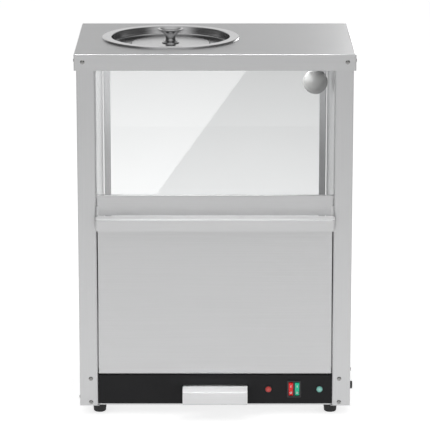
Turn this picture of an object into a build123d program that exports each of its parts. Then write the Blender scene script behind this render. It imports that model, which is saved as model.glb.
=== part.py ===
from build123d import *
from math import cos, radians, sin, tan
import os

# Countertop chip warmer in folded stainless sheet, drawn in millimetres.
# +X is the viewer's right at the front, -Y faces the viewer and +Z is up.
# The top has a round fill port with a lift-off lid, the lower front is a tilt-out
# serving door, and the black fascia carries the switches and the crumb tray.

# Cabinet
cabinet_width = 482.0
cabinet_depth = 322.0
cabinet_height = 636.5
sheet = 1.0
post_width = 33.0
post_bend = 4.5
corner_bend = 2.0
flange_depth = 14.0
running_gap = 0.3
side_gap = 1.5

# Top cover
cover_sheet = 1.2
cover_overhang = 4.0
cover_skirt = 29.0
cover_bend = 2.0

# Feet
foot_height = 19.5
foot_radius = 12.0
foot_tread = 9.5
foot_inset = 34.0
stud_radius = 3.0
stud_grip = 8.0
stud_length = 18.0
nut_height = 5.0
nut_radius = 5.8

# Front, from the bottom up
fascia_setback = 3.0
fascia_sheet = 1.2
fascia_height = 53.0
base_strip = 3.0
pan_upstand = 10.0
fascia_ledge = 14.0
door_setback = 4.0
door_height = 290.0
sill_gap = 1.2
rail_gap = 0.6
rail_height = 36.5
rail_ledge = 6.0
rail_end_notch = 2.6
groove_depth = 20.0
glass_thickness = 4.0
glass_lap = 16.0
header_drop = 18.0

# Serving door
door_return = 12.0
lip_width = 420.0
lip_reach = 30.0
lip_drop = 21.0
lip_corner = 5.0
pin_radius = 2.0
pin_clearance = 0.05
pin_overhang = 2.0
cheek_radius = 280.0
cheek_angle = 38.0
cheek_sheet = 1.0
cheek_toe = 14.0
stop_tab = 2.4
stop_tab_length = 16.0

# Chip chamber
deck_rise = 66.5
deck_skirt = 8.0
slot_width = 3.8
slot_length = 26.0
slot_pitch_x = 12.0
slot_pitch_y = 36.0
slot_columns = 8
slot_rows = 6
liner_ledge = 12.0
liner_gap = 1.0

# Rear
sill_depth = 16.0
rear_header_height = 62.0
stile_width = 12.0
stile_depth = 8.0
stile_gap = 2.0
pane_thickness = 4.0
pane_bite = 3.0
pivot_radius = 2.5
pivot_length = 10.0
knob_radius = 11.0
knob_reach = 24.0
knob_height = 150.0
knob_inset = 24.0
knob_screw_radius = 2.0
vent_width = 3.5
vent_height = 24.0
vent_pitch = 9.0
vent_count = 11
inlet_width = 28.0
inlet_height = 20.0
inlet_depth = 22.0
inlet_flange = 2.5
inlet_ear = 10.0
blade_width = 2.0
blade_height = 4.0
blade_shy = 6.0

# Fill port and lid
port_inset = 161.5
port_y = 6.0
lid_radius = 122.5
lid_rim_height = 3.2
lid_sheet = 1.0
dish_radius = 107.0
dish_depth = 13.5
port_clearance = 2.0
collar_depth = 12.0
plateau_radius = 69.5
plateau_rise = 1.8
knob_top_radius = 22.5
knob_neck_radius = 8.5
knob_base_radius = 15.5
lid_knob_height = 25.0
lid_screw_radius = 2.5

# Crumb tray
tray_width = 112.0
tray_depth = 284.0
tray_height = 17.5
tray_wall = 1.0
tray_rise = 15.0
tray_travel_gap = 0.3
handle_width = 115.0
handle_reach = 37.6
handle_drop = 23.9
handle_hem = 6.0
handle_sheet = 1.2
handle_above_tray = 2.6
slot_margin = 2.3

# Switches, lamps and fuse on the fascia and the right side
control_rise = 29.9
rocker_inset = (105.6, 94.5)
rocker_width = 7.7
rocker_radius = 13.0
rocker_tilt = 7.0
rocker_proud = 1.2
rocker_gap = 0.25
rocker_pin_radius = 1.2
rocker_pin_reach = 1.2
bezel_width = 25.0
bezel_height = 31.0
bezel_proud = 1.4
switch_depth = 24.0
pilot_inset = (145.7, 54.6)
pilot_lens_radius = 4.2
pilot_bezel_radius = 6.0
pilot_proud = 1.6
pilot_depth = 20.0
fuse_y_inset = 30.0
fuse_rise = 30.0
fuse_cap_radius = 7.0
fuse_cap_proud = 5.0
fuse_body_radius = 5.8
fuse_body_length = 30.0

# Heating
heater_drop = 16.0
heater_radius = 3.2
heater_width = 72.0
heater_side_gap = 79.0
heater_front = 110.0
heater_back = 112.0
heater_bend = 28.0
bracket_sheet = 1.2
disc_radius = 12.0
disc_height = 10.0
terminal_length = 46.0

# Roof lamp
lamp_inset = 61.0
bulb_radius = 22.5
bulb_length = 75.0
bulb_tip_drop = 101.0
bulb_base_radius = 7.0
holder_radius = 17.0
holder_flange_radius = 22.0

# Fasteners
screw_head_radius = 3.9
screw_head_height = 1.8
screw_radius = 1.9
screw_length = 9.0
cover_screw_inset = 15.0
cover_screw_drop = 14.0
post_screw_rise = (6.5, 49.9)
side_screw_rise = (12.5, 63.5)

# Side of a bend line on which the sheet's thickness lies
LEFT, RIGHT = 1, -1

# Places worked out from the sizes above
front_y = -cabinet_depth / 2
rear_y = cabinet_depth / 2
side_x = cabinet_width / 2
opening_x = side_x - post_width
base_z = foot_height
floor_z = base_z + sheet
top_z = base_z + cabinet_height
roof_z = top_z - cover_sheet
skirt_z = top_z - cover_skirt

fascia_y = front_y + fascia_setback
fascia_z = base_z + base_strip
fascia_top = fascia_z + fascia_height
control_z = base_z + control_rise

door_y = front_y + door_setback
door_x = opening_x - side_gap
door_z = fascia_top + sill_gap
door_top = door_z + door_height
barrel_inner = pin_radius + pin_clearance
barrel_outer = barrel_inner + sheet
hinge_y = door_y + barrel_outer
hinge_z = door_z + barrel_outer
lip_y = door_y - lip_reach

rail_z = door_top + rail_gap
rail_top = rail_z + rail_height
glass_y = door_y + rail_ledge
glass_back = glass_y + glass_thickness
groove_z = rail_top - groove_depth
header_z = roof_z - header_drop
glass_top = header_z + glass_lap

deck_z = base_z + deck_rise
deck_bottom = deck_z - sheet
chamber_y = rear_y - flange_depth
liner_x = opening_x + sheet

rear_panel_y = rear_y - fascia_setback
rear_header_z = roof_z - rear_header_height
rear_door_z = deck_z + liner_gap
rear_door_top = rear_header_z - liner_gap
stile_y = rear_panel_y - stile_depth / 2 - liner_gap
stile_x = opening_x - stile_gap
pivot_x = -(stile_x - stile_width / 2)
door_knob_x = stile_x - knob_inset
door_knob_z = rear_door_z + knob_height

port_x = -(side_x - port_inset)
lid_floor = top_z + lid_rim_height - dish_depth
port_radius = dish_radius + port_clearance
lid_knob_top = lid_floor + plateau_rise + lid_knob_height

tray_z = base_z + tray_rise
tray_front = fascia_y + fascia_sheet + running_gap
handle_top = tray_z + tray_height + handle_above_tray
handle_y = fascia_y - handle_reach
slot_z = tray_z - sheet
slot_top = handle_top + slot_margin

rocker_x = [side_x - inset for inset in rocker_inset]
pilot_x = [side_x - inset for inset in pilot_inset]
switch_x = sum(rocker_x) / 2
pivot_y = fascia_y + rocker_radius / 2 - rocker_proud
heater_z = deck_z - heater_drop
heater_outer_x = side_x - heater_side_gap
heater_inner_x = heater_outer_x - heater_width
lamp_x = side_x - lamp_inset
bulb_tip_z = skirt_z - bulb_tip_drop + cover_skirt
holder_bottom = bulb_tip_z + bulb_length - bulb_radius
knob_back = stile_y + stile_depth / 2 - (stile_depth - pane_thickness) / 2

# The origin is under the centre of the whole thing's box
rear_reach = knob_back + knob_reach
front_reach = -handle_y
centring_y = (front_reach - rear_reach) / 2


def strip(points, bends, thickness, hand):
    """Outline of right-angled bent sheet: a face line and its twin to the left or right."""
    line = [Vector(*point) for point in points]
    ways = [(end - start).normalized() for start, end in zip(line, line[1:])]
    across = [Vector(-way.Y, way.X) * (thickness * hand) for way in ways]
    twin = [line[0] + across[0]]
    twin_bends = []
    for point, bend, before, after in zip(line[1:-1], bends, across, across[1:]):
        turn = before.cross(after).Z * hand
        twin.append(point + before + after)
        twin_bends.append(max(0.0, bend - thickness if turn > 0 else bend + thickness))
    twin.append(line[-1] + across[-1])
    edges = [
        *FilletPolyline(*line, radius=bends).edges(),
        Line(line[-1], twin[-1]).edge(),
        *FilletPolyline(*reversed(twin), radius=twin_bends[::-1]).edges(),
        Line(twin[0], line[0]).edge(),
    ]
    return make_face(edges)


def folded_along_x(points, radii, half_length, hand, thickness=sheet):
    """Sheet bent in the (y, z) plane, as long as the opening is wide."""
    outline = strip(points, radii, thickness, hand)
    return extrude(Plane.YZ.offset(-half_length) * outline, amount=2 * half_length)


def folded_along_y(points, radii, half_length, hand, thickness=sheet):
    """Sheet bent in the (x, z) plane."""
    outline = strip(points, radii, thickness, hand)
    return extrude(Plane.XZ.offset(-half_length) * outline, amount=2 * half_length)


def folded_along_z(points, radii, low, high, hand, thickness=sheet):
    """Sheet bent in plan, standing between two heights."""
    outline = strip(points, radii, thickness, hand)
    return extrude(Plane.XY.offset(low) * outline, amount=high - low)


def block(x0, x1, y0, y1, z0, z1):
    """Plain rectangular tool body between two corners."""
    return Pos(x0, y0, z0) * Box(
        x1 - x0, y1 - y0, z1 - z0, align=(Align.MIN, Align.MIN, Align.MIN)
    )


def facing(x, y, z, direction):
    """Drawing plane on a front or rear face, with its own x along the cabinet's width."""
    return Plane(origin=(x, y, z), x_dir=(1, 0, 0), z_dir=direction)


def rod(x, y, z, radius, length, direction):
    """Round bar from a point along a direction."""
    start = Plane(origin=(x, y, z), z_dir=direction)
    return extrude(start * Circle(radius), amount=length)


def turned(points, x=0.0, y=0.0):
    """Ring or boss turned about a vertical axis from (radius, z) points."""
    profile = make_face(Polyline(*points, close=True))
    return Pos(x, y, 0) * revolve(Plane.XZ * profile, Axis.Z)


def pan_screw(x, y, z, direction):
    """Low-headed screw whose head stands on the surface at the given point."""
    seat = Plane(origin=(x, y, z), z_dir=direction)
    head = extrude(seat * Circle(screw_head_radius), amount=screw_head_height)
    crown = head.faces().sort_by(lambda face: (face.center() - Vector(x, y, z)).dot(seat.z_dir))[-1]
    head = chamfer(crown.edges(), screw_head_height * 0.6)
    return head + extrude(seat * Circle(screw_radius), amount=-screw_length)


def screw_hole(x, y, z, direction):
    """Drilling for one screw."""
    hole = Plane(origin=(x, y, z), z_dir=direction)
    return extrude(hole * Circle(screw_radius), amount=2 * screw_length, both=True)


def cover_screw_places():
    """Where the screws hold the cover's skirt, with the way each one faces."""
    z = top_z - cover_screw_drop
    for x in (-1, 1):
        for y in (-1, 1):
            along_x = side_x + cover_overhang - cover_screw_inset
            yield x * along_x, y * (rear_y + cover_overhang), z, (0, y, 0)
            yield x * (side_x + cover_overhang), y * (rear_y - cover_screw_inset), z, (x, 0, 0)


def post_screw_places():
    """Where the screws hold the posts' faces to the base pan."""
    for x in (-1, 1):
        for y in (-1, 1):
            for rise in post_screw_rise:
                yield (x * (side_x - post_width * 0.6), y * rear_y, base_z + rise, (0, y, 0))


def side_screw_places():
    """One screw low on the left side and one higher on the right side."""
    y = front_y + cover_screw_inset
    yield (-side_x, y, base_z + side_screw_rise[0], (-1, 0, 0))
    yield (side_x, y, base_z + side_screw_rise[1], (1, 0, 0))


def foot_places():
    """Centres of the four feet."""
    for x in (-1, 1):
        for y in (-1, 1):
            yield x * (side_x - foot_inset), y * (rear_y - foot_inset)


def drill(body, places):
    """Cuts the screw holes that a panel shares with its screws."""
    for x, y, z, direction in places:
        body -= screw_hole(x, y, z, direction)
    return body


def side_shell(hand):
    """C-shaped side with front and rear posts and their inner flanges."""
    inner_y = chamber_y
    outline = [
        (opening_x, -inner_y),
        (opening_x, front_y),
        (side_x, front_y),
        (side_x, rear_y),
        (opening_x, rear_y),
        (opening_x, inner_y),
    ]
    bends = [post_bend, corner_bend, corner_bend, post_bend]
    shell = folded_along_z(outline, bends, floor_z, roof_z, LEFT)
    if hand < 0:
        shell = mirror(shell, about=Plane.YZ)
    shell = drill(shell, cover_screw_places())
    shell = drill(shell, post_screw_places())
    shell = drill(shell, side_screw_places())
    pin_hole = rod(opening_x - sheet, hinge_y, hinge_z, pin_radius, 3 * sheet, (1, 0, 0))
    shell -= mirror(pin_hole, about=Plane.YZ) if hand < 0 else pin_hole
    if hand > 0:
        shell -= rod(opening_x + 2 * sheet, fuse_y(), fuse_z(), fuse_body_radius, side_x, (1, 0, 0))
    return shell


def fuse_y():
    """Place of the fuse holder along the side."""
    return front_y + fuse_y_inset


def fuse_z():
    """Height of the fuse holder's centre."""
    return base_z + fuse_rise


def top_cover():
    """Drawn lid of the cabinet with skirts all round and the fill port's collar."""
    width = cabinet_width + 2 * cover_overhang
    depth = cabinet_depth + 2 * cover_overhang
    low_plane = Plane.XY.offset(skirt_z)
    outer = extrude(low_plane * RectangleRounded(width, depth, cover_bend), amount=cover_skirt)
    outer = fillet(outer.faces().sort_by(Axis.Z)[-1].edges(), cover_bend)
    inner_bend = cover_bend - cover_sheet / 2
    inside = RectangleRounded(width - 2 * cover_sheet, depth - 2 * cover_sheet, inner_bend)
    cover = outer - extrude(low_plane * inside, amount=cover_skirt - cover_sheet)
    low = top_z - collar_depth
    cover += rod(port_x, port_y, low, port_radius + cover_sheet, roof_z - low, (0, 0, 1))
    cover -= rod(port_x, port_y, low - sheet, port_radius, 2 * collar_depth, (0, 0, 1))
    return drill(cover, cover_screw_places())


def base_pan():
    """Folded floor with upstands between the posts and wings under them."""
    between = opening_x - running_gap
    strip_y = -(fascia_y + fascia_sheet)
    lift = floor_z + pan_upstand
    outline = [(-strip_y, lift), (-strip_y, base_z), (strip_y, base_z), (strip_y, lift)]
    pan = folded_along_x(outline, [corner_bend, corner_bend], between, LEFT)
    wing = block(
        between - sheet, side_x - running_gap, front_y + running_gap, rear_y - running_gap, base_z, floor_z
    )
    pan += wing + mirror(wing, about=Plane.YZ)
    for x, y in foot_places():
        pan -= rod(x, y, base_z - sheet, stud_radius, 3 * sheet, (0, 0, 1))
    return pan


def fascia():
    """Black control panel with a folded top, the tray slot and its holes."""
    outline = [
        (fascia_y, fascia_z),
        (fascia_y, fascia_top),
        (fascia_y + fascia_ledge, fascia_top),
    ]
    panel = folded_along_x(outline, [1.6], opening_x - running_gap, RIGHT, fascia_sheet)
    reach = fascia_ledge - fascia_sheet
    slot_x = tray_width / 2 + sheet
    slot = block(-slot_x, slot_x, fascia_y - 1, fascia_y + reach, slot_z, slot_top)
    panel -= slot
    cutout_x = bezel_width / 2 - bezel_proud
    cutout_z = bezel_height / 2 - bezel_proud
    panel -= block(
        switch_x - cutout_x, switch_x + cutout_x, fascia_y - 1, fascia_y + 2 * fascia_sheet,
        control_z - cutout_z, control_z + cutout_z,
    )
    for x in pilot_x:
        panel -= rod(x, fascia_y - 1, control_z, pilot_lens_radius + sheet, 4 * fascia_sheet, (0, 1, 0))
    return panel


def front_rail():
    """Strip below the window, folded back into the groove that holds the glass."""
    near = glass_y - running_gap
    far = glass_back + running_gap
    outline = [
        (door_y, rail_z),
        (door_y, rail_top),
        (near, rail_top),
        (near, groove_z),
        (far, groove_z),
        (far, rail_top - sheet),
    ]
    rail = folded_along_x(outline, [1.6, 1.6, 0.25, 0.25], opening_x, RIGHT)
    notch_top = rail_top - rail_ledge
    for hand in (-1, 1):
        edge = hand * (opening_x - rail_end_notch)
        low, high = sorted((edge, 2 * edge))
        rail -= block(low, high, door_y - 1, near - 1.5 * sheet, rail_z - 1, notch_top)
    return rail


def front_header():
    """Inverted channel under the cover that holds the top of the glass."""
    near = glass_y - running_gap
    far = glass_back + running_gap
    outline = [(near, header_z), (near, roof_z - sheet), (far, roof_z - sheet), (far, header_z)]
    return folded_along_x(outline, [0.25, 0.25], opening_x, LEFT)


def front_glass():
    """Fixed window standing in the rail's groove."""
    half = opening_x - liner_gap
    return block(-half, half, glass_y, glass_back, groove_z, glass_top)


def side_liner(hand):
    """One folded liner, bent inwards under the deck."""
    wall_y = rear_y - post_bend - running_gap
    outer = liner_x + sheet
    outline = [
        (opening_x - liner_ledge, deck_bottom - sheet),
        (outer, deck_bottom - sheet),
        (outer, roof_z - liner_gap),
    ]
    panel = folded_along_y(outline, [2 * sheet], wall_y, LEFT)
    for y in (-1, 1):
        low, high = sorted((y * (rear_panel_y - sill_depth - running_gap), y * rear_y))
        panel -= block(0, liner_x, low, high, base_z, deck_z)
    return mirror(panel, about=Plane.YZ) if hand < 0 else panel


def deck():
    """Chip deck with rows of crumb slots over the tray."""
    half = opening_x - running_gap
    front = door_y + door_return + 2 * running_gap
    outline = [(front, deck_z - deck_skirt), (front, deck_z), (chamber_y - running_gap, deck_z)]
    panel = folded_along_x(outline, [2 * sheet], half, RIGHT)
    slots = Sketch()
    for x, y in (
        (column, row)
        for column in spread(slot_columns, slot_pitch_x)
        for row in spread(slot_rows, slot_pitch_y)
    ):
        slots += Pos(x, y) * SlotOverall(slot_length, slot_width, rotation=90)
    return panel - extrude(Plane.XY.offset(deck_bottom - sheet) * slots, amount=3 * sheet)


def spread(count, pitch):
    """Evenly spaced places about zero."""
    return [(index - (count - 1) / 2) * pitch for index in range(count)]


def front_door():
    """Pan-shaped door with a pull lip at the top and a rolled hinge barrel."""
    deep_y = door_y + door_return
    returns = [(-door_x, deep_y), (-door_x, door_y), (door_x, door_y), (door_x, deep_y)]
    pan = folded_along_z(returns, [corner_bend, corner_bend], hinge_z, door_top - sheet, LEFT)
    toe = block(-side_x, side_x, door_y + 2 * sheet, 0, 0, hinge_z + 2 * barrel_outer)
    door = pan - toe
    back = door_y + sheet
    top = folded_along_x(
        [(back, hinge_z), (back, door_top), (lip_y, door_top), (lip_y, door_top - lip_drop)],
        [corner_bend, corner_bend], door_x, LEFT,
    )
    door += top
    door += pull_lip()
    barrel = rod(-door_x, hinge_y, hinge_z, barrel_outer, 2 * door_x, (1, 0, 0))
    mouth_z = hinge_z + barrel_inner * 0.6
    mouth = block(-side_x, side_x, hinge_y, hinge_y + 2 * barrel_outer, mouth_z, mouth_z + barrel_outer)
    door += barrel - mouth
    return door - rod(-side_x, hinge_y, hinge_z, barrel_inner, cabinet_width, (1, 0, 0))


def pull_lip():
    """Hooded lip across the whole front, with rounded corners."""
    stand_off = front_y - running_gap
    reach = stand_off - lip_y
    plan = Pos(0, stand_off - reach / 2) * Rectangle(lip_width, reach)
    outer = extrude(Plane.XY.offset(door_top - lip_drop) * plan, amount=lip_drop)
    uprights = outer.edges().filter_by(Axis.Z).sort_by(Axis.Y)[:2]
    outer = fillet(uprights, lip_corner)
    top_edges = outer.faces().sort_by(Axis.Z)[-1].edges().sort_by(Axis.Y)[:-1]
    outer = fillet(top_edges, corner_bend)
    inner_plan = Pos(0, stand_off - reach / 2 + sheet) * Rectangle(lip_width - 2 * sheet, reach)
    inner = extrude(Plane.XY.offset(door_top - lip_drop) * inner_plan, amount=lip_drop - sheet)
    inner = fillet(inner.edges().filter_by(Axis.Z).sort_by(Axis.Y)[:2], lip_corner - sheet)
    return outer - inner


def door_cheeks():
    """Sector-shaped sides that keep the chips in, each with a stop tab."""
    outer = door_x - sheet
    reach = cheek_radius
    angle = radians(cheek_angle)
    start_y = door_y + corner_bend - hinge_y
    fan = make_face(
        [
            *Polyline(
                (reach * sin(angle), reach * cos(angle)),
                (cheek_toe * sin(angle), cheek_toe * cos(angle)),
                (start_y, cheek_toe * cos(angle)),
                (start_y, (reach**2 - start_y**2) ** 0.5),
            ).edges(),
            RadiusArc(
                (start_y, (reach**2 - start_y**2) ** 0.5),
                (reach * sin(angle), reach * cos(angle)),
                reach,
            ).edge(),
        ]
    )
    place = Plane(origin=(outer - cheek_sheet, hinge_y, hinge_z), x_dir=(0, 1, 0), z_dir=(1, 0, 0))
    cheek = extrude(place * fan, amount=cheek_sheet)
    tab_y = (reach - stop_tab_length) * sin(angle)
    tab_z = (reach - stop_tab_length) * cos(angle)
    tab = Pos(outer - cheek_sheet, hinge_y + tab_y, hinge_z + tab_z) * Rot(-cheek_angle, 0, 0) * Box(
        cheek_sheet + stop_tab, sheet, stop_tab_length, align=(Align.MIN, Align.MAX, Align.MIN)
    )
    cheek += tab
    return cheek + mirror(cheek, about=Plane.YZ)


def door_hinge_pin():
    """Rod through the door's barrel, held in both posts' flanges."""
    reach = opening_x + sheet + pin_overhang
    return rod(-reach, hinge_y, hinge_z, pin_radius, 2 * reach, (1, 0, 0))


def rear_base_panel():
    """Low rear panel with vents, the power inlet's hole and the door's sill."""
    outline = [
        (rear_panel_y, fascia_z),
        (rear_panel_y, deck_bottom),
        (rear_panel_y - sill_depth, deck_bottom),
    ]
    panel = folded_along_x(outline, [2 * sheet], opening_x - running_gap, LEFT)
    middle_z = (fascia_z + deck_bottom) / 2
    for x in spread(vent_count, vent_pitch):
        vent = facing(x, rear_panel_y + sheet, middle_z, (0, -1, 0))
        panel -= extrude(vent * SlotOverall(vent_height, vent_width, rotation=90), amount=3 * sheet)
    panel -= block(
        inlet_x() - inlet_width / 2, inlet_x() + inlet_width / 2, rear_panel_y - 2 * sheet, rear_y,
        control_z - inlet_height / 2, control_z + inlet_height / 2,
    )
    return panel - rod(pivot_x, stile_y, deck_bottom - 2 * sheet, pivot_radius, 3 * sheet, (0, 0, 1))


def inlet_x():
    """Power inlet's place on the rear panel, behind the switches."""
    return switch_x


def power_inlet():
    """Flanged cup of the appliance inlet, with a slot in its back for each blade."""
    face = facing(inlet_x(), rear_panel_y, control_z, (0, 1, 0))
    wall = 2.0
    body = extrude(face * RectangleRounded(inlet_width, inlet_height, wall), amount=-inlet_depth)
    ears = RectangleRounded(inlet_width + 2 * inlet_ear, inlet_height + 2 * wall, 1.5 * wall)
    flange = extrude(face * ears, amount=inlet_flange)
    mouth = face.offset(inlet_flange)
    inside = RectangleRounded(inlet_width - 2 * wall, inlet_height - 2 * wall, 1.5 * wall)
    return body + flange - extrude(mouth * inside, amount=-inlet_depth) - inlet_blades()


def inlet_blades():
    """Three blades through the cup's back, each with a tab behind it."""
    tab = 5.0
    face = facing(inlet_x(), rear_panel_y - inlet_depth - tab, control_z, (0, 1, 0))
    length = inlet_depth + inlet_flange + tab - blade_shy
    blades = Part()
    for x, z in ((-7, -2), (0, 2), (7, -2)):
        blades += extrude(face * Pos(x, z) * Rectangle(blade_width, blade_height), amount=length)
    return blades


def rear_header():
    """Folded header over the rear door, with the top pivot's hole."""
    outline = [(chamber_y - 2, rear_header_z), (rear_panel_y, rear_header_z), (rear_panel_y, roof_z)]
    panel = folded_along_x(outline, [2 * sheet], opening_x, LEFT)
    return panel - rod(pivot_x, stile_y, rear_header_z - sheet, pivot_radius, 3 * sheet, (0, 0, 1))


def rear_door_pivots():
    """Two headed pins, one in the sill and one in the header."""
    head = 1.2 * pivot_radius
    sill_under = deck_bottom - sheet
    header_over = rear_header_z + sheet
    low_length = sheet + liner_gap + sheet + pivot_length
    low = rod(pivot_x, stile_y, sill_under, pivot_radius, low_length, (0, 0, 1))
    low += rod(pivot_x, stile_y, sill_under, head, -2 * sheet, (0, 0, 1))
    high = rod(pivot_x, stile_y, header_over, pivot_radius, -(2 * sheet + pivot_length), (0, 0, 1))
    high += rod(pivot_x, stile_y, header_over, head, 2 * sheet, (0, 0, 1))
    return low + high


def stile(hand):
    """Grooved edge bar of the rear door; the left one turns on the pivots."""
    centre = hand * (stile_x - stile_width / 2)
    plan = Pos(centre, stile_y) * RectangleRounded(stile_width, stile_depth, 1.5)
    bar = extrude(Plane.XY.offset(rear_door_z) * plan, amount=rear_door_top - rear_door_z)
    inner = centre - hand * stile_width / 2
    bite = inner + hand * pane_bite
    low, high = sorted((inner - hand, bite))
    near, far = stile_y - pane_thickness / 2, stile_y + pane_thickness / 2
    bar -= block(low, high, near, far, rear_door_z - 1, rear_door_top + 1)
    if hand < 0:
        depth = pivot_length + 2 * sheet
        bore = pivot_radius + pin_clearance
        bar -= rod(pivot_x, stile_y, rear_door_z, bore, depth, (0, 0, 1))
        bar -= rod(pivot_x, stile_y, rear_door_top, bore, -depth, (0, 0, 1))
    return bar


def rear_door_pane():
    """Clear pane between the two stiles."""
    half = stile_x - stile_width + pane_bite
    near, far = stile_y - pane_thickness / 2, stile_y + pane_thickness / 2
    pane = block(-half, half, near, far, rear_door_z, rear_door_top)
    return pane - rod(door_knob_x, 0, door_knob_z, knob_screw_radius, cabinet_depth, (0, 1, 0))


def rear_door_knob():
    """Turned knob outside the pane."""
    profile = Polyline(
        (knob_screw_radius, 0), (knob_radius * 0.75, 0), (knob_radius * 0.5, knob_reach * 0.3),
        (knob_radius * 0.62, knob_reach * 0.55), (knob_radius, knob_reach * 0.75),
        (knob_radius * 0.9, knob_reach), (0, knob_reach), (0, knob_reach * 0.6),
        (knob_screw_radius, knob_reach * 0.6), close=True,
    )
    knob = revolve(Plane.XZ * make_face(profile), Axis.Z)
    return Pos(door_knob_x, stile_y + pane_thickness / 2, door_knob_z) * Rot(-90, 0, 0) * knob


def rear_door_screw():
    """Screw through the pane into the knob."""
    inside = stile_y - pane_thickness / 2
    head = rod(door_knob_x, inside, door_knob_z, 2 * knob_screw_radius, -knob_screw_radius, (0, 1, 0))
    shank = pane_thickness + knob_reach * 0.6 - running_gap
    return head + rod(door_knob_x, inside, door_knob_z, knob_screw_radius, shank, (0, 1, 0))


def door_catch():
    """Magnetic catch on the right liner, just inside the latch stile."""
    face_y = stile_y - stile_depth / 2 - running_gap
    catch = block(
        liner_x - stile_width, liner_x, face_y - stile_width, face_y,
        rear_door_z + stile_width, rear_door_z + 4 * stile_width,
    )
    flange = block(opening_x - 1, side_x, chamber_y, rear_y, base_z, top_z)
    catch -= flange
    return fillet(catch.edges().filter_by(Axis.Z).sort_by(Axis.X)[:2], 1.0)


def lid():
    """Pressed lid: rolled rim, deep recess and a raised round in its floor."""
    outer = lid_floor - lid_sheet
    rim_top = top_z + lid_rim_height
    profile = make_face(
        FilletPolyline(
            (0, lid_floor + plateau_rise),
            (plateau_radius, lid_floor + plateau_rise),
            (plateau_radius + 2, lid_floor),
            (dish_radius - lid_sheet - 2.5, lid_floor),
            (dish_radius - lid_sheet, rim_top),
            (lid_radius, rim_top),
            (lid_radius, top_z),
            (lid_radius - lid_sheet, top_z),
            (lid_radius - lid_sheet, rim_top - lid_sheet),
            (dish_radius, rim_top - lid_sheet),
            (dish_radius - 2.5, outer),
            (plateau_radius + 1, outer),
            (plateau_radius - 1, outer + plateau_rise),
            (0, outer + plateau_rise),
            radius=[0.8, 0.8, 2.0, 1.5, 1.4, 0, 0, 0.4, 0.5, 3.0, 0.8, 0.8],
        ).edges()
        + Line((0, outer + plateau_rise), (0, lid_floor + plateau_rise)).edges()
    )
    plate = Pos(port_x, port_y, 0) * revolve(Plane.XZ * profile, Axis.Z)
    low = lid_floor - 2 * lid_sheet
    return plate - rod(port_x, port_y, low, lid_screw_radius, 4 * lid_sheet + plateau_rise, (0, 0, 1))


def lid_knob():
    """Turned knob with a dished top, a thin neck and a flared foot."""
    foot = lid_floor + plateau_rise
    high = lid_knob_top - foot
    edge = lid_knob_top - 0.05 * high
    skirt = foot + 0.06 * high
    waist = foot + 0.30 * high
    bore = foot + 0.5 * high
    dish = lid_knob_top - 0.16 * high
    hollow = (knob_neck_radius + 1.4, foot + 0.17 * high)
    flank = (knob_neck_radius + 4.5, foot + 0.64 * high)
    profile = make_face(
        [
            Line((lid_screw_radius, foot), (knob_base_radius, foot)).edge(),
            Line((knob_base_radius, foot), (knob_base_radius, skirt)).edge(),
            ThreePointArc((knob_base_radius, skirt), hollow, (knob_neck_radius, waist)).edge(),
            ThreePointArc((knob_neck_radius, waist), flank, (knob_top_radius, edge)).edge(),
            Line((knob_top_radius, edge), (knob_top_radius, lid_knob_top)).edge(),
            *FilletPolyline(
                (knob_top_radius, lid_knob_top), (0.92 * knob_top_radius, lid_knob_top),
                (0.62 * knob_top_radius, dish), (0, dish), radius=[0.5, 3.0],
            ).edges(),
            Line((0, dish), (0, bore)).edge(),
            Line((0, bore), (lid_screw_radius, bore)).edge(),
            Line((lid_screw_radius, bore), (lid_screw_radius, foot)).edge(),
        ]
    )
    return Pos(port_x, port_y, 0) * revolve(Plane.XZ * profile, Axis.Z)


def lid_knob_screw():
    """Screw from under the lid into its knob."""
    seat = lid_floor - lid_sheet + plateau_rise
    head = rod(port_x, port_y, seat, 2 * lid_screw_radius, -lid_screw_radius, (0, 0, 1))
    shank = lid_sheet + 0.5 * lid_knob_height - running_gap
    return head + rod(port_x, port_y, seat, lid_screw_radius, shank, (0, 0, 1))


def crumb_tray():
    """Shallow drawer with a hooded handle folded from its front."""
    half = tray_width / 2
    tray_back = tray_front + tray_depth
    shell = block(-half, half, tray_front, tray_back, tray_z, tray_z + tray_height)
    shell = fillet(shell.edges().filter_by(Axis.Z), 3.0)
    hollow = block(
        -half + tray_wall, half - tray_wall, tray_front + tray_wall, tray_back - tray_wall,
        tray_z + tray_wall, tray_z + 2 * tray_height,
    )
    hollow = fillet(hollow.edges().filter_by(Axis.Z), 2.0)
    tray = shell - hollow
    hood = folded_along_x(
        [
            (tray_front + tray_wall, tray_z + tray_height / 2),
            (tray_front + tray_wall, handle_top),
            (handle_y, handle_top),
            (handle_y, handle_top - handle_drop),
            (handle_y + handle_hem, handle_top - handle_drop),
        ],
        [2.0, 2.0, 2.0], handle_width / 2, LEFT, handle_sheet,
    )
    behind = fascia_y - running_gap
    for hand in (-1, 1):
        edge = hand * (half - 1)
        low, high = sorted((edge, 2 * edge))
        hood -= block(low, high, behind, 0, 0, top_z)
    return tray + hood


def tray_runners():
    """Two folded runners that carry the tray above the floor, with end stops."""
    foot = 10.0
    inner = tray_width / 2 - foot / 2
    ledge = tray_z - tray_travel_gap
    outline = [
        (inner, ledge),
        (tray_width / 2 + 2, ledge),
        (tray_width / 2 + 2, floor_z + sheet),
        (tray_width / 2 + 2 + foot, floor_z + sheet),
    ]
    length = tray_depth / 2 + 2
    runner = folded_along_y(outline, [1.6, 0.3], length, RIGHT)
    middle = tray_front + tray_depth / 2 + 2 + 2 * sheet
    runner = Pos(0, middle, 0) * runner
    stop_y = tray_front + tray_depth + running_gap
    stop_top = ledge + tray_height / 2
    runner += block(inner, tray_width / 2, stop_y, stop_y + 2 * sheet, ledge - sheet, stop_top)
    return runner + mirror(runner, about=Plane.YZ)


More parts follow.
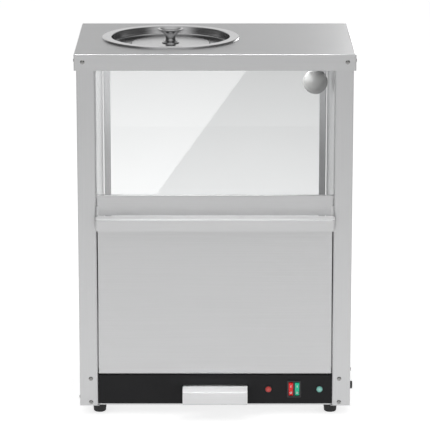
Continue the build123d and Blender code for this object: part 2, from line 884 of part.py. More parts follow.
def switch_housing():
    """Frame and box for the two rockers, with their pivot holes."""
    face = facing(switch_x, fascia_y, control_z, (0, -1, 0))
    frame = extrude(face * RectangleRounded(bezel_width, bezel_height, 2.0), amount=bezel_proud)
    behind = Rectangle(bezel_width - 2 * bezel_proud, bezel_height - 2 * bezel_proud)
    housing = frame + extrude(face * behind, amount=-switch_depth)
    bore = rocker_pin_radius + pin_clearance
    cavity_x = rocker_width / 2 + rocker_gap
    cavity_z = rocker_radius + rocker_gap
    for x in rocker_x:
        housing -= block(
            x - cavity_x, x + cavity_x, fascia_y - 2 * bezel_proud, pivot_y + rocker_radius,
            control_z - cavity_z, control_z + cavity_z,
        )
        reach = cavity_x + rocker_pin_reach
        housing -= rod(x - reach, pivot_y, control_z, bore, 2 * reach, (1, 0, 0))
    return housing


def rocker(x, tilt):
    """One rocker: a slice of a disc with two flats that meet at its middle."""
    crest = -(pivot_y - fascia_y + rocker_proud)
    reach = 2 * rocker_radius
    ends = crest - reach * tan(radians(rocker_tilt))
    back = rocker_radius * 0.45
    face = make_face(
        Polyline((-reach, ends), (0, crest), (reach, ends), (reach, back), (-reach, back), close=True)
    )
    flank = Plane(origin=(x - rocker_width / 2, 0, 0), x_dir=(0, 0, 1), z_dir=(1, 0, 0))
    body = extrude(flank * (face & Circle(rocker_radius)), amount=rocker_width)
    pins = rod(
        x - rocker_width / 2 - rocker_pin_reach, 0, 0, rocker_pin_radius,
        rocker_width + 2 * rocker_pin_reach, (1, 0, 0),
    )
    return Pos(0, pivot_y, control_z) * Rot(tilt, 0, 0) * (body + pins)


def pilot_housings():
    """Black round housings of the two pilot lamps."""
    housings = Part()
    for x in pilot_x:
        outer = rod(x, fascia_y, control_z, pilot_lens_radius + sheet, pilot_depth, (0, 1, 0))
        ring = rod(x, fascia_y, control_z, pilot_bezel_radius, -pilot_proud, (0, 1, 0))
        mouth_y = fascia_y - 2 * pilot_proud
        bore = rod(x, mouth_y, control_z, pilot_lens_radius, pilot_depth / 2, (0, 1, 0))
        housings += outer + ring - bore
    return housings


def pilot_lens(x):
    """Domed lens seated in its housing."""
    depth = pilot_depth / 2 - 2 * pilot_proud
    lens = rod(x, fascia_y + depth, control_z, pilot_lens_radius, -(depth + 2 * pilot_proud), (0, 1, 0))
    return fillet(lens.edges().sort_by(Axis.Y)[:1], pilot_lens_radius * 0.6)


def fuse_holder():
    """Body, nut and cap of the fuse holder in the right side."""
    y, z = fuse_y(), fuse_z()
    cap = rod(side_x, y, z, fuse_cap_radius, fuse_cap_proud, (1, 0, 0))
    cap = fillet(cap.edges().sort_by(Axis.X)[-1:], 1.2)
    body = rod(side_x, y, z, fuse_body_radius, -fuse_body_length, (1, 0, 0))
    inside = Plane(origin=(side_x - sheet, y, z), z_dir=(-1, 0, 0))
    nut = inside * RegularPolygon(fuse_cap_radius + 1, 6)
    return cap + body + extrude(nut, amount=2.5)


def heater(hand):
    """Hairpin tubular element with ceramic-bushed terminals."""
    inner, outer = hand * heater_inner_x, hand * heater_outer_x
    path = FilletPolyline(
        (inner, heater_back, heater_z), (inner, -heater_front, heater_z),
        (outer, -heater_front, heater_z), (outer, heater_back, heater_z), radius=heater_bend,
    )
    tube = sweep(Plane(origin=path @ 0, z_dir=path % 0) * Circle(heater_radius), path=path)
    for x in (inner, outer):
        tube += rod(x, heater_back, heater_z, heater_radius * 1.5, 8, (0, 1, 0))
        tube += rod(x, heater_back + 8, heater_z, heater_radius * 0.4, 12, (0, 1, 0))
    return tube


def heater_brackets():
    """Hangers from the deck that carry the elements."""
    brackets = Part()
    low = heater_z - 2 * heater_radius
    inner, outer = heater_inner_x - 8, heater_outer_x + 8
    for hand in (-1, 1):
        x0, x1 = sorted((hand * inner, hand * outer))
        for y in (-0.55 * heater_front, 0.75 * heater_back):
            outline = [(y, low), (y, deck_bottom), (y + 10, deck_bottom)]
            plate = folded_along_x(outline, [1.6], (x1 - x0) / 2, RIGHT, bracket_sheet)
            plate = Pos((x0 + x1) / 2, 0, 0) * plate
            for x in (hand * heater_inner_x, hand * heater_outer_x):
                plate -= rod(x, y - 2, heater_z, heater_radius, 4 + bracket_sheet, (0, 1, 0))
            brackets += plate
    return brackets


def control_disc(hand):
    """Snap-disc control pressed against the deck's underside."""
    x = hand * (heater_inner_x + heater_outer_x) / 2
    disc = rod(x, 0, deck_bottom, disc_radius, -disc_height, (0, 0, 1))
    disc += block(
        x - 1.6 * disc_radius, x + 1.6 * disc_radius, -0.4 * disc_radius, 0.4 * disc_radius,
        deck_bottom - sheet, deck_bottom,
    )
    for y in (-0.5, 0.5):
        disc += block(
            x - 0.4, x + 0.4, y * disc_radius - 3, y * disc_radius + 3, deck_bottom - disc_height - 8,
            deck_bottom - disc_height,
        )
    return disc


def terminal_block():
    """Screw terminals on the base pan, behind the switches."""
    length = terminal_length
    x = switch_x - length / 2
    body = block(x, x + length, -20, 0, floor_z, floor_z + 14)
    body -= block(x - 1, x + length + 1, -21, -15, floor_z + 8, floor_z + 15)
    body -= block(x - 1, x + length + 1, -5, 1, floor_z + 8, floor_z + 15)
    for place in spread(5, length / 5):
        body -= rod(switch_x + place, -10, floor_z + 15, 2.5, -5, (0, 0, 1))
    return body


def lamp_holder():
    """Porcelain holder screwed under the cover."""
    bore = bulb_base_radius + running_gap
    ceiling = bulb_tip_z + bulb_length
    return turned(
        [
            (0, roof_z), (holder_flange_radius, roof_z), (holder_flange_radius, roof_z - 4),
            (holder_radius, roof_z - 8), (holder_radius * 0.85, holder_bottom),
            (bore, holder_bottom), (bore, ceiling), (0, ceiling),
        ],
        lamp_x,
    )


def display_bulb():
    """Round lamp with a screw base seated in the holder."""
    centre = bulb_tip_z + bulb_radius
    neck = bulb_base_radius * 1.4
    neck_z = centre + (bulb_radius**2 - (neck * 1.2) ** 2) ** 0.5
    shoulder = holder_bottom - running_gap
    cap_top = bulb_tip_z + bulb_length
    outline = [
        ThreePointArc((0, bulb_tip_z), (bulb_radius, centre), (neck * 1.2, neck_z)).edge(),
        Line((neck * 1.2, neck_z), (neck * 0.8, shoulder)).edge(),
        Line((neck * 0.8, shoulder), (bulb_base_radius, shoulder)).edge(),
        Line((bulb_base_radius, shoulder), (bulb_base_radius, cap_top)).edge(),
        Line((bulb_base_radius, cap_top), (0, cap_top)).edge(),
        Line((0, cap_top), (0, bulb_tip_z)).edge(),
    ]
    return Pos(lamp_x, 0, 0) * revolve(Plane.XZ * make_face(outline), Axis.Z)


def feet():
    """Four tapered rubber feet with a blind hole for the stud."""
    foot = turned(
        [
            (0, 0), (foot_tread, 0), (foot_tread + 1.5, 1.5), (foot_radius, foot_height * 0.6),
            (foot_radius, foot_height), (stud_radius, foot_height),
            (stud_radius, foot_height - stud_grip), (0, foot_height - stud_grip),
        ]
    )
    return Part() + [Pos(x, y, 0) * foot for x, y in foot_places()]


def foot_studs():
    """Threaded studs that stand in the feet and pass the base pan."""
    low = foot_height - stud_grip
    return Part() + [rod(x, y, low, stud_radius, stud_length, (0, 0, 1)) for x, y in foot_places()]


def foot_nuts():
    """Nuts on the studs, inside the cabinet."""
    nuts = Part()
    for x, y in foot_places():
        plane = Plane.XY.offset(floor_z)
        nut = extrude(plane * RegularPolygon(nut_radius, 6), amount=nut_height)
        nuts += Pos(x, y, 0) * (nut - rod(0, 0, base_z, stud_radius, 2 * nut_height, (0, 0, 1)))
    return nuts


def screws(places):
    """Group of identical screws."""
    return Part() + [pan_screw(*place) for place in places]


nodes = {
    "left_side_shell": side_shell(-1),
    "right_side_shell": side_shell(1),
    "top_cover": top_cover(),
    "base_pan": base_pan(),
    "fascia": fascia(),
    "front_rail": front_rail(),
    "front_header": front_header(),
    "front_glass": front_glass(),
    "left_liner": side_liner(-1),
    "right_liner": side_liner(1),
    "chip_deck": deck(),
    "serving_door": front_door(),
    "door_cheeks": door_cheeks(),
    "door_hinge_pin": door_hinge_pin(),
    "rear_base_panel": rear_base_panel(),
    "power_inlet": power_inlet(),
    "inlet_blades": inlet_blades(),
    "rear_header": rear_header(),
    "rear_door_pivots": rear_door_pivots(),
    "rear_hinge_stile": stile(-1),
    "rear_latch_stile": stile(1),
    "rear_door_pane": rear_door_pane(),
    "rear_door_knob": rear_door_knob(),
    "rear_knob_screw": rear_door_screw(),
    "rear_door_catch": door_catch(),
    "lid": lid(),
    "lid_knob": lid_knob(),
    "lid_knob_screw": lid_knob_screw(),
    "crumb_tray": crumb_tray(),
    "tray_runners": tray_runners(),
    "switch_housing": switch_housing(),
    "heat_rocker": rocker(rocker_x[0], rocker_tilt),
    "light_rocker": rocker(rocker_x[1], rocker_tilt),
    "pilot_housings": pilot_housings(),
    "heat_pilot_lens": pilot_lens(pilot_x[0]),
    "power_pilot_lens": pilot_lens(pilot_x[1]),
    "fuse_holder": fuse_holder(),
    "left_heater": heater(-1),
    "right_heater": heater(1),
    "heater_brackets": heater_brackets(),
    "thermostat": control_disc(-1),
    "thermal_cutout": control_disc(1),
    "terminal_block": terminal_block(),
    "lamp_holder": lamp_holder(),
    "display_bulb": display_bulb(),
    "feet": feet(),
    "foot_studs": foot_studs(),
    "foot_nuts": foot_nuts(),
    "cover_screws": screws(cover_screw_places()),
    "post_screws": screws(post_screw_places()),
    "side_screws": screws(side_screw_places()),
}

os.makedirs("parts", exist_ok=True)
for name, shape in nodes.items():
    export_step(Pos(0, centring_y, 0) * shape, f"parts/{name}.step")
print(len(nodes), "nodes, centring", round(centring_y, 3))
print("hinge", round(hinge_y + centring_y, 3), round(hinge_z, 3), "top", top_z, "knob", lid_knob_top)
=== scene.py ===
# %% [markdown]
# # A countertop chip warmer
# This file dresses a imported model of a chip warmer: a tall cabinet of folded stainless sheet with a
# window in its upper front, a door that tilts out below it, a round lidded port in the roof and a
# crumb tray at the bottom. The solids come ready made, so the work here is finishes, small pieces
# such as cross-headed screws, the floor, the light and the camera.

# %% Load the fixed frame
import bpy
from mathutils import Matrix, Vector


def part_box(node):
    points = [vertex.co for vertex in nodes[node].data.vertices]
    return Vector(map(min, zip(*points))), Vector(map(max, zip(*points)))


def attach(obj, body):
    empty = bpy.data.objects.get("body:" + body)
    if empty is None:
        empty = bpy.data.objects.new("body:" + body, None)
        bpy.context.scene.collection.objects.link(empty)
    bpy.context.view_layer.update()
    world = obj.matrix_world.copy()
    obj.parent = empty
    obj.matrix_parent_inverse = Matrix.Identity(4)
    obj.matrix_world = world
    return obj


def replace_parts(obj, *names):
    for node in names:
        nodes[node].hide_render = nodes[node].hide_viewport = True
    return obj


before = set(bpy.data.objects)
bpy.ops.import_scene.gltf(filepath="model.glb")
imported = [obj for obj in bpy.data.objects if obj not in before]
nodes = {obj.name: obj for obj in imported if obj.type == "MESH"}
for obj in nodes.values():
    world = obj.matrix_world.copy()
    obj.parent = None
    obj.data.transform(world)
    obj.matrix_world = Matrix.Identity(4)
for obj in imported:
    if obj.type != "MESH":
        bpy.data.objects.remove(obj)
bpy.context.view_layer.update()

import math

import bmesh
import bpy
from mathutils import Matrix, Vector

# %% [markdown]
# Blender keeps an object's data, such as a mesh or a lamp, apart from the object that shows it. The
# same two lines are needed for every object, so one helper writes them. A second one turns a bmesh,
# which is Blender's mesh for editing, into a plain mesh.

# %% Objects and meshes
MM = 0.001


def add_object(name, data):
    """Shows a mesh, lamp or camera in the scene."""
    made = bpy.data.objects.new(name, data)
    bpy.context.scene.collection.objects.link(made)
    return made


def plain_mesh(bm, name):
    """Ends a bmesh and keeps it as a plain mesh."""
    mesh = bpy.data.meshes.new(name)
    bm.to_mesh(mesh)
    bm.free()
    return mesh


print("lengths below are in metres, or in millimetres times", MM)

# %% [markdown]
# The photograph was taken from in front and above, with the verticals held parallel. A camera that
# tips down a little from far away keeps them nearly parallel and can still be turned round the
# object, which a strongly shifted lens can't.

# %% The camera
AIM_HEIGHT = 0.301
VIEW_ELEVATION = math.radians(13.7)
VIEW_DISTANCE = 5.0
SENSOR_WIDTH, FOCAL_LENGTH, LENS_SHIFT = 36.0, 230.5, 0.04

camera = add_object("camera", bpy.data.cameras.new("camera"))
camera.data.sensor_width = SENSOR_WIDTH
camera.data.lens = FOCAL_LENGTH
camera.data.shift_y = LENS_SHIFT
backwards = Vector((0, -math.cos(VIEW_ELEVATION), math.sin(VIEW_ELEVATION)))
camera.location = Vector((0, 0, AIM_HEIGHT)) + backwards * VIEW_DISTANCE
camera.rotation_euler = (math.pi / 2 - VIEW_ELEVATION, 0, 0)
bpy.context.scene.camera = camera
bpy.context.scene.view_settings.view_transform = "Standard"
print("camera at", [round(v, 3) for v in camera.location])

# %% [markdown]
# A shader is a tree of nodes joined by wires. Its maths reads best as plain arithmetic, so `Wire`
# holds one output of a node, and adding or multiplying wires adds Math nodes.

# %% A wire
class Wire:
    """One value in a shader; arithmetic on it adds Math nodes."""

    def __init__(self, recipe, socket):
        self.recipe, self.socket = recipe, socket

    def maths(self, operation, *values):
        return self.recipe.node("ShaderNodeMath", {"operation": operation}, dict(enumerate(values)))

    def __add__(self, other):
        return self.maths("ADD", self, other)

    def __sub__(self, other):
        return self.maths("SUBTRACT", self, other)

    def __rsub__(self, other):
        return self.maths("SUBTRACT", other, self)

    def __mul__(self, other):
        return self.maths("MULTIPLY", self, other)

    __radd__, __rmul__ = __add__, __mul__


print("wires can be added, taken away and multiplied")

# %% [markdown]
# `Recipe` keeps the tree and makes every other node in it. Settings such as a ramp's stops come
# first, because they decide which sockets a node has. Patterns sit on Object coordinates, so they
# are as large as the real thing and stay with their piece when it moves.

# %% A recipe
class Recipe:
    """A node tree with one way to add any node to it."""

    def __init__(self, tree):
        self.tree = tree
        tree.nodes.clear()

    def node(self, kind, settings=None, values=None, output=0):
        made = self.tree.nodes.new(kind)
        for name, value in (settings or {}).items():
            if name == "stops":
                ramp = made.color_ramp.elements
                while len(ramp) < len(value):
                    ramp.new(0.5)
                for element, (place, grey) in zip(ramp, value):
                    element.position = place
                    element.color = (grey, grey, grey, 1)
            else:
                setattr(made, name, value)
        for name, value in (values or {}).items():
            if isinstance(value, Wire):
                self.tree.links.new(value.socket, made.inputs[name])
            else:
                made.inputs[name].default_value = value
        return Wire(self, made.outputs[output])

    def place(self, scale=(1, 1, 1), centre=(0, 0, 0)):
        """Object coordinates, centred and stretched for a pattern."""
        coordinates = self.node("ShaderNodeTexCoord", output="Object")
        shift = tuple(-c * s for c, s in zip(centre, scale))
        values = {"Vector": coordinates, "Scale": scale, "Location": shift}
        return self.node("ShaderNodeMapping", values=values)

    def noise(self, per_metre, detail=3.0, roughness=0.5):
        """Cloudy pattern with so many spots to the metre, one number or one for each axis."""
        if isinstance(per_metre, float):
            per_metre = (per_metre,) * 3
        values = {"Vector": self.place(per_metre), "Scale": 1.0, "Detail": detail, "Roughness": roughness}
        return self.node("ShaderNodeTexNoise", values=values)

    def reach(self, scale=(1, 1, 1), centre=(0, 0, 0)):
        """Distance from a centre; an axis with a scale of 0 doesn't count."""
        return self.node("ShaderNodeVectorMath", {"operation": "LENGTH"}, {0: self.place(scale, centre)},
                         output="Value")

    def blend(self, factor, first, second):
        """Mix of two colours."""
        values = {0: factor, 6: (*first, 1), 7: (*second, 1)}
        return self.node("ShaderNodeMix", {"data_type": "RGBA"}, values, output=2)

    def bump(self, height, distance, strength=1.0):
        """Slight tilt of the surface that follows a pattern, at a depth in metres."""
        values = {"Height": height, "Distance": distance, "Strength": strength}
        return self.node("ShaderNodeBump", values=values)


print("patterns are measured in spots to the metre")

# %% [markdown]
# Every finish here is one Principled shader. A value that is the same all over is set on its socket,
# and a pattern is wired to it. `dress` then gives the finish to solids that came ready made.

# %% Finishes
def finish(name, **sockets):
    """New material with one Principled shader; returns its recipe and a function that sets a socket."""
    material = bpy.data.materials.new(name)
    material.use_nodes = True
    recipe = Recipe(material.node_tree)
    shader = recipe.tree.nodes.new("ShaderNodeBsdfPrincipled")
    target = recipe.tree.nodes.new("ShaderNodeOutputMaterial")
    recipe.tree.links.new(shader.outputs[0], target.inputs[0])

    def put(socket, value):
        if isinstance(value, Wire):
            recipe.tree.links.new(value.socket, shader.inputs[socket])
        elif socket.endswith("Color"):
            shader.inputs[socket].default_value = (*value, 1)
        else:
            shader.inputs[socket].default_value = value

    for socket, value in sockets.items():
        put(socket.replace("_", " "), value)
    return material, recipe, put


def dress(material, *names):
    """Gives ready-made solids their finish."""
    for name in names:
        mesh = nodes[name].data
        mesh.materials.clear()
        mesh.materials.append(material)
    print(material.name, "on", ", ".join(names))


# %% [markdown]
# Stainless sheet leaves the mill with a fine straight grain. The grain is a noise that is stretched
# a long way in one direction and squeezed in the others. It roughens the reflection in streaks and
# tilts it slightly, and a broad second noise keeps large panels from looking machine-perfect. The
# shader's own anisotropy could smear the reflection too, but it takes its direction from a UV map,
# which these solids don't have.

# %% Brushed stainless sheet
STEEL = (0.600, 0.602, 0.606)
GRAIN_ALONG, GRAIN_ACROSS, GRAIN_DEPTH = 7.0, 850.0, 0.00022
CLOUDS, SMEARS = 3.0, (14.0, 14.0, 5.0)


def sheet_steel(name, along, metallic=1.0):
    """Satin stainless sheet whose grain runs along one axis, 0, 1 or 2."""
    material, recipe, put = finish(name, Metallic=metallic)
    stretch = [GRAIN_ACROSS] * 3
    stretch[along] = GRAIN_ALONG
    grain = recipe.noise(tuple(stretch))
    cloud = recipe.noise(CLOUDS)
    smear = recipe.noise(SMEARS, detail=4.0, roughness=0.6)
    bright = tuple(c * 1.05 for c in STEEL)
    dull = tuple(c * 0.93 for c in STEEL)
    put("Base Color", recipe.blend(grain * 0.7 + cloud * 0.3, dull, bright))
    put("Roughness", 0.28 + grain * 0.07 + smear * 0.05)
    put("Normal", recipe.bump(grain, GRAIN_DEPTH))
    return material


dress(sheet_steel("steel_grain_upright", 2), "left_side_shell", "right_side_shell", "left_liner",
      "right_liner")
dress(sheet_steel("steel_grain_crosswise", 0), "top_cover", "front_rail", "front_header", "rear_header",
      "rear_base_panel", "base_pan", "heater_brackets")
dress(sheet_steel("steel_grain_front_to_back", 1), "chip_deck", "door_cheeks", "tray_runners")

# %% [markdown]
# The door and the tray are pulled by hand all day. Skin leaves a thin dull film on them, which shows
# light from every side, as paint does. A metallic value a little under 1 gives that film.

# %% Sheet worn by hands
dress(sheet_steel("steel_worn_by_hands", 0, metallic=0.86), "serving_door", "crumb_tray")

# %% [markdown]
# The lid is pressed from brighter stock and buffed on a wheel while it turns, so its marks are rings
# round its own centre. The distance from that centre drives a fine wave, broken up by a noise.

# %% Buffed lid and knob
lid_low, lid_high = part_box("lid")
lid_centre = (lid_low + lid_high) / 2
RINGS, RING_DEPTH = 1400.0, 0.00001


def buffed_steel(name, roughness):
    """Polished steel with rings about an upright axis through the lid's centre."""
    material, recipe, put = finish(name, Metallic=1.0)
    radius = recipe.reach((1, 1, 0), (lid_centre.x, lid_centre.y, 0))
    rings = recipe.node("ShaderNodeTexNoise", {"noise_dimensions": "1D"},
                        {"W": radius * RINGS, "Scale": 1.0, "Detail": 3.0})
    smear = recipe.noise(22.0)
    put("Base Color", recipe.blend(rings, (0.54, 0.54, 0.545), (0.66, 0.66, 0.665)))
    put("Roughness", roughness - 0.03 + rings * 0.06 + smear * 0.04)
    put("Normal", recipe.bump(rings, RING_DEPTH, 0.4))
    return material


dress(buffed_steel("buffed_lid", 0.17), "lid")
dress(buffed_steel("buffed_knob", 0.12), "lid_knob")

# %% [markdown]
# The two bars of the rear door are drawn metal with a satin skin, screws, pins and studs are zinc
# plated, and the elements' sheaths are browned by heat. All are metals with a small mottled skin, so
# one recipe serves them.

# %% Satin bars, plated fasteners and sheaths
def small_metal(name, dull, bright, roughness, size):
    """Even metal with a fine mottled skin of a given grain size in metres."""
    material, recipe, put = finish(name, Metallic=1.0)
    mottle = recipe.noise(1.0 / size)
    put("Base Color", recipe.blend(mottle, dull, bright))
    put("Roughness", roughness - 0.05 + mottle * 0.1)
    put("Normal", recipe.bump(mottle, size * 0.02, 0.4))
    return material


bar_metal = small_metal("satin_bar", (0.50, 0.50, 0.51), (0.58, 0.58, 0.59), 0.34, 0.0008)
plated = small_metal("plated_steel", (0.30, 0.30, 0.295), (0.44, 0.44, 0.43), 0.18, 0.0006)
sheath = small_metal("heated_sheath", (0.10, 0.085, 0.075), (0.24, 0.21, 0.19), 0.48, 0.004)
dress(bar_metal, "rear_hinge_stile", "rear_latch_stile", "rear_door_knob")
dress(plated, "door_hinge_pin", "rear_door_pivots", "rear_knob_screw", "lid_knob_screw", "foot_studs",
      "foot_nuts", "cover_screws", "post_screws", "side_screws", "inlet_blades")
dress(sheath, "left_heater", "right_heater")

# %% [markdown]
# The fascia is sheet with a smooth black coat. Real coats are never quite flat: a faint orange-peel
# bump and slightly uneven gloss catch the light, and the black stays a very dark grey. Mouldings,
# rubber and glazed porcelain differ from it only in their tones, gloss and grain.

# %% Black coat, mouldings, rubber and porcelain
WIPED = 30.0


def coated(name, dark, light, roughness, size, depth, **sockets):
    """Opaque coat or plastic: two close tones, uneven gloss and a small bump."""
    material, recipe, put = finish(name, **sockets)
    skin = recipe.noise(1.0 / size)
    wipe = recipe.noise(WIPED)
    put("Base Color", recipe.blend(skin * 0.5 + wipe * 0.5, dark, light))
    put("Roughness", roughness - 0.05 + wipe * 0.1)
    put("Normal", recipe.bump(skin, depth, 0.5))
    return material


dress(coated("black_coat", (0.012, 0.012, 0.013), (0.020, 0.020, 0.021), 0.44, 0.0015, 0.00003,
             Specular_IOR_Level=0.12), "fascia")
dress(coated("black_moulding", (0.012, 0.012, 0.013), (0.022, 0.022, 0.023), 0.40, 0.0004, 0.00002),
      "switch_housing", "pilot_housings", "fuse_holder", "power_inlet", "terminal_block",
      "rear_door_catch", "thermostat", "thermal_cutout")
dress(coated("foot_rubber", (0.010, 0.010, 0.010), (0.022, 0.022, 0.022), 0.62, 0.0009, 0.00005), "feet")
dress(coated("glazed_porcelain", (0.72, 0.71, 0.67), (0.82, 0.81, 0.78), 0.16, 0.006, 0.00004),
      "lamp_holder")

# %% [markdown]
# The rockers are dyed right through and moulded in a polished tool, so they are strong in colour and
# glossy. The same recipe as for the black mouldings gives them, with a lower roughness.

# %% Rockers
for name, dark, light in (
    ("heat_rocker", (0.72, 0.010, 0.012), (0.88, 0.020, 0.020)),
    ("light_rocker", (0.010, 0.46, 0.26), (0.020, 0.60, 0.36)),
):
    dress(coated(name + "_tint", dark, light, 0.16, 0.003, 0.00002), name)

# %% [markdown]
# Glass is almost nothing but reflection and refraction. The pane of the window is a true solid, so
# light bends in and out of it. The lamp is opal glass: pale, glossy and only faintly see-through.

# %% Window, rear pane and lamp
def clear_pane(name, tint, ior, roughness):
    """See-through sheet with faint wiping marks in its gloss."""
    material, recipe, put = finish(name, Transmission_Weight=1.0, IOR=ior)
    wipe = recipe.noise(9.0)
    put("Base Color", recipe.blend(wipe, tint, tuple(min(1.0, c * 1.02) for c in tint)))
    put("Roughness", roughness * wipe)
    return material


dress(clear_pane("window_glass", (0.975, 0.982, 0.982), 1.50, 0.03), "front_glass")
dress(clear_pane("clear_acrylic", (0.975, 0.980, 0.980), 1.49, 0.04), "rear_door_pane")
dress(coated("opal_glass", (0.34, 0.34, 0.335), (0.40, 0.40, 0.395), 0.14, 0.02, 0.00002,
             Transmission_Weight=0.1), "display_bulb")

# %% [markdown]
# Small round pieces are turned: a half outline of radius and height is spun about an upright axis.
# A cylinder with bevels would do for a plain head, but an outline can be a dome or a lens as well.

# %% Turning, placing and adding pieces
def turned(outline, steps=32):
    """Closed shape spun about +Z from (radius, height) points in millimetres."""
    bm = bmesh.new()
    ring = [bm.verts.new((r * MM, 0, z * MM)) for r, z in outline]
    edges = [bm.edges.new(pair) for pair in zip(ring, ring[1:])]
    bmesh.ops.spin(bm, geom=ring + edges, cent=(0, 0, 0), axis=(0, 0, 1), dvec=(0, 0, 0),
                   angle=2 * math.pi, steps=steps, use_merge=True, use_duplicate=False)
    bmesh.ops.remove_doubles(bm, verts=bm.verts, dist=0.01 * MM)
    bmesh.ops.recalc_face_normals(bm, faces=bm.faces)
    return bm


def as_piece(bm, name, body, material, smooth_below=math.radians(35)):
    """Makes a bmesh a piece that rides a body."""
    mesh = plain_mesh(bm, name)
    if smooth_below:
        mesh.shade_smooth()
        mesh.set_sharp_from_angle(angle=smooth_below)
    mesh.materials.append(material)
    piece = add_object(name, mesh)
    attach(piece, body)
    print(name, len(mesh.polygons), "faces")
    return piece


def stand(point, direction, turn=0.0):
    """Puts a shape made about +Z on a surface, facing a direction."""
    facing = Vector(direction).to_track_quat("Z", "Y").to_matrix().to_4x4()
    return Matrix.Translation(point) @ facing @ Matrix.Rotation(turn, 4, "Z")


# %% [markdown]
# The screws are low pan heads with a cross recess. One head is turned, and two thin bars that narrow
# downwards are cut out of it with Boolean modifiers. Pushing faces in by hand would need a grid on
# the dome first, and the modifiers work on any head.

# %% One cross-headed screw
HEAD = [(0, 1.8), (1.6, 1.72), (2.8, 1.35), (3.6, 0.65), (3.9, 0.0), (1.9, 0.0), (1.9, -9.0), (0, -9.0)]
HEAD_TOP = HEAD[0][1]
RECESS_LENGTH, RECESS_WIDTH, RECESS_DEPTH = 4.6, 0.95, 1.3
FLOOR_SHARE = (0.45, 0.7, 1)


def recess_bar(turn):
    """Bar that cuts one stroke of the cross, narrower at its floor."""
    bm = bmesh.new()
    bmesh.ops.create_cube(bm, size=1.0)
    size = Vector((RECESS_LENGTH, RECESS_WIDTH, 2 * RECESS_DEPTH)) * MM
    bmesh.ops.scale(bm, vec=size, verts=bm.verts)
    bmesh.ops.scale(bm, vec=FLOOR_SHARE, verts=[v for v in bm.verts if v.co.z < 0])
    bmesh.ops.rotate(bm, matrix=Matrix.Rotation(turn, 3, "Z"), verts=bm.verts)
    bmesh.ops.translate(bm, vec=(0, 0, HEAD_TOP * MM), verts=bm.verts)
    return add_object("recess", plain_mesh(bm, "recess"))


def cross_screw():
    """Mesh of one screw with its cross cut in, seat at the origin, head towards +Z."""
    blank = add_object("one_screw", plain_mesh(turned(HEAD), "one_screw"))
    cutters = [recess_bar(turn) for turn in (0, math.pi / 2)]
    for cutter in cutters:
        cut = blank.modifiers.new("cut", "BOOLEAN")
        cut.operation, cut.solver, cut.object = "DIFFERENCE", "EXACT", cutter
    bpy.context.view_layer.update()
    done = bpy.data.meshes.new_from_object(blank.evaluated_get(bpy.context.evaluated_depsgraph_get()))
    for spent in [blank, *cutters]:
        bpy.data.objects.remove(spent)
    return done


one_screw = cross_screw()
print("one screw has", len(one_screw.polygons), "faces")

# %% [markdown]
# The cover, the posts and the sides each take a set of screws, and each set is one piece. Every copy
# is turned a different way, because nobody lines up the crosses of sheet screws.

# %% Sets of screws
FIRST_TURN, NEXT_TURN = 0.35, 0.9


def screw_set(name, places):
    """One piece holding a copy of the screw at each (point, direction), in place of the plain ones."""
    bm = bmesh.new()
    for index, (point, direction) in enumerate(places):
        before = len(bm.verts)
        bm.from_mesh(one_screw)
        bm.verts.ensure_lookup_table()
        place = stand(point, direction, turn=FIRST_TURN + NEXT_TURN * index)
        bmesh.ops.transform(bm, matrix=place, verts=bm.verts[before:])
    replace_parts(as_piece(bm, name + "_crossed", "cabinet", plated), name)


cover_low, cover_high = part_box("top_cover")
shell_low, shell_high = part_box("right_side_shell")
INSET, COVER_DROP, OVERHANG = 0.015, 0.014, 0.004
drop_z = cover_high.z - COVER_DROP
side_y = {-1: cover_low.y + OVERHANG + INSET, 1: cover_high.y - OVERHANG - INSET}
screw_set("cover_screws", [
    place for x in (-1, 1) for y, edge in ((-1, cover_low.y), (1, cover_high.y)) for place in (
        ((x * (cover_high.x - INSET), edge, drop_z), (0, y, 0)),
        ((x * cover_high.x, side_y[y], drop_z), (x, 0, 0)),
    )
])
POST_X, POST_Z = 0.2212, (0.0260, 0.0694)
screw_set("post_screws", [
    ((x * POST_X, edge, z), (0, y, 0))
    for x in (-1, 1) for y, edge in ((-1, shell_low.y), (1, shell_high.y)) for z in POST_Z
])
LEFT_SCREW_Z, RIGHT_SCREW_Z = 0.0320, 0.0830
screw_set("side_screws", [
    ((-shell_high.x, shell_low.y + INSET, LEFT_SCREW_Z), (-1, 0, 0)),
    ((shell_high.x, shell_low.y + INSET, RIGHT_SCREW_Z), (1, 0, 0)),
])

# %% [markdown]
# The pilot lamps have domed lenses with flat facets that scatter a small bulb's light. Spinning the
# outline in only twelve steps, and leaving it flat shaded, gives the facets for nothing. The colour
# is paler towards the middle: painted light in the colour, standing in for a bulb lit behind the lens.

# %% Pilot lenses
fascia_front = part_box("fascia")[0].y
LENS = [(0, 3.2), (2.3, 3.0), (4.3, 2.5), (5.4, 1.9), (5.4, 1.62), (4.1, 1.62), (4.1, -6.8), (0, -6.8)]
LENS_RADIUS, FACETS, RIPPLES = 5.4, 12, 420.0


def lens_with_painted_glow(name, middle, dark, light):
    """Tinted lens plastic with painted light: paler round the lens's own axis."""
    material, recipe, put = finish(name, IOR=1.5, Transmission_Weight=0.2)
    radius = recipe.reach((1, 0, 1), (middle.x, 0, middle.z))
    # painted light: the colour brightens towards the lens's axis, as if a bulb shone behind it
    glow = recipe.node("ShaderNodeMapRange", values={"Value": radius, "From Max": LENS_RADIUS * MM,
                                                     "To Min": 1.0, "To Max": 0.0})
    ripple = recipe.noise(RIPPLES, detail=2.0)
    put("Base Color", recipe.blend(glow * 0.7 + ripple * 0.3, dark, light))
    put("Roughness", 0.12 + ripple * 0.08)
    return material
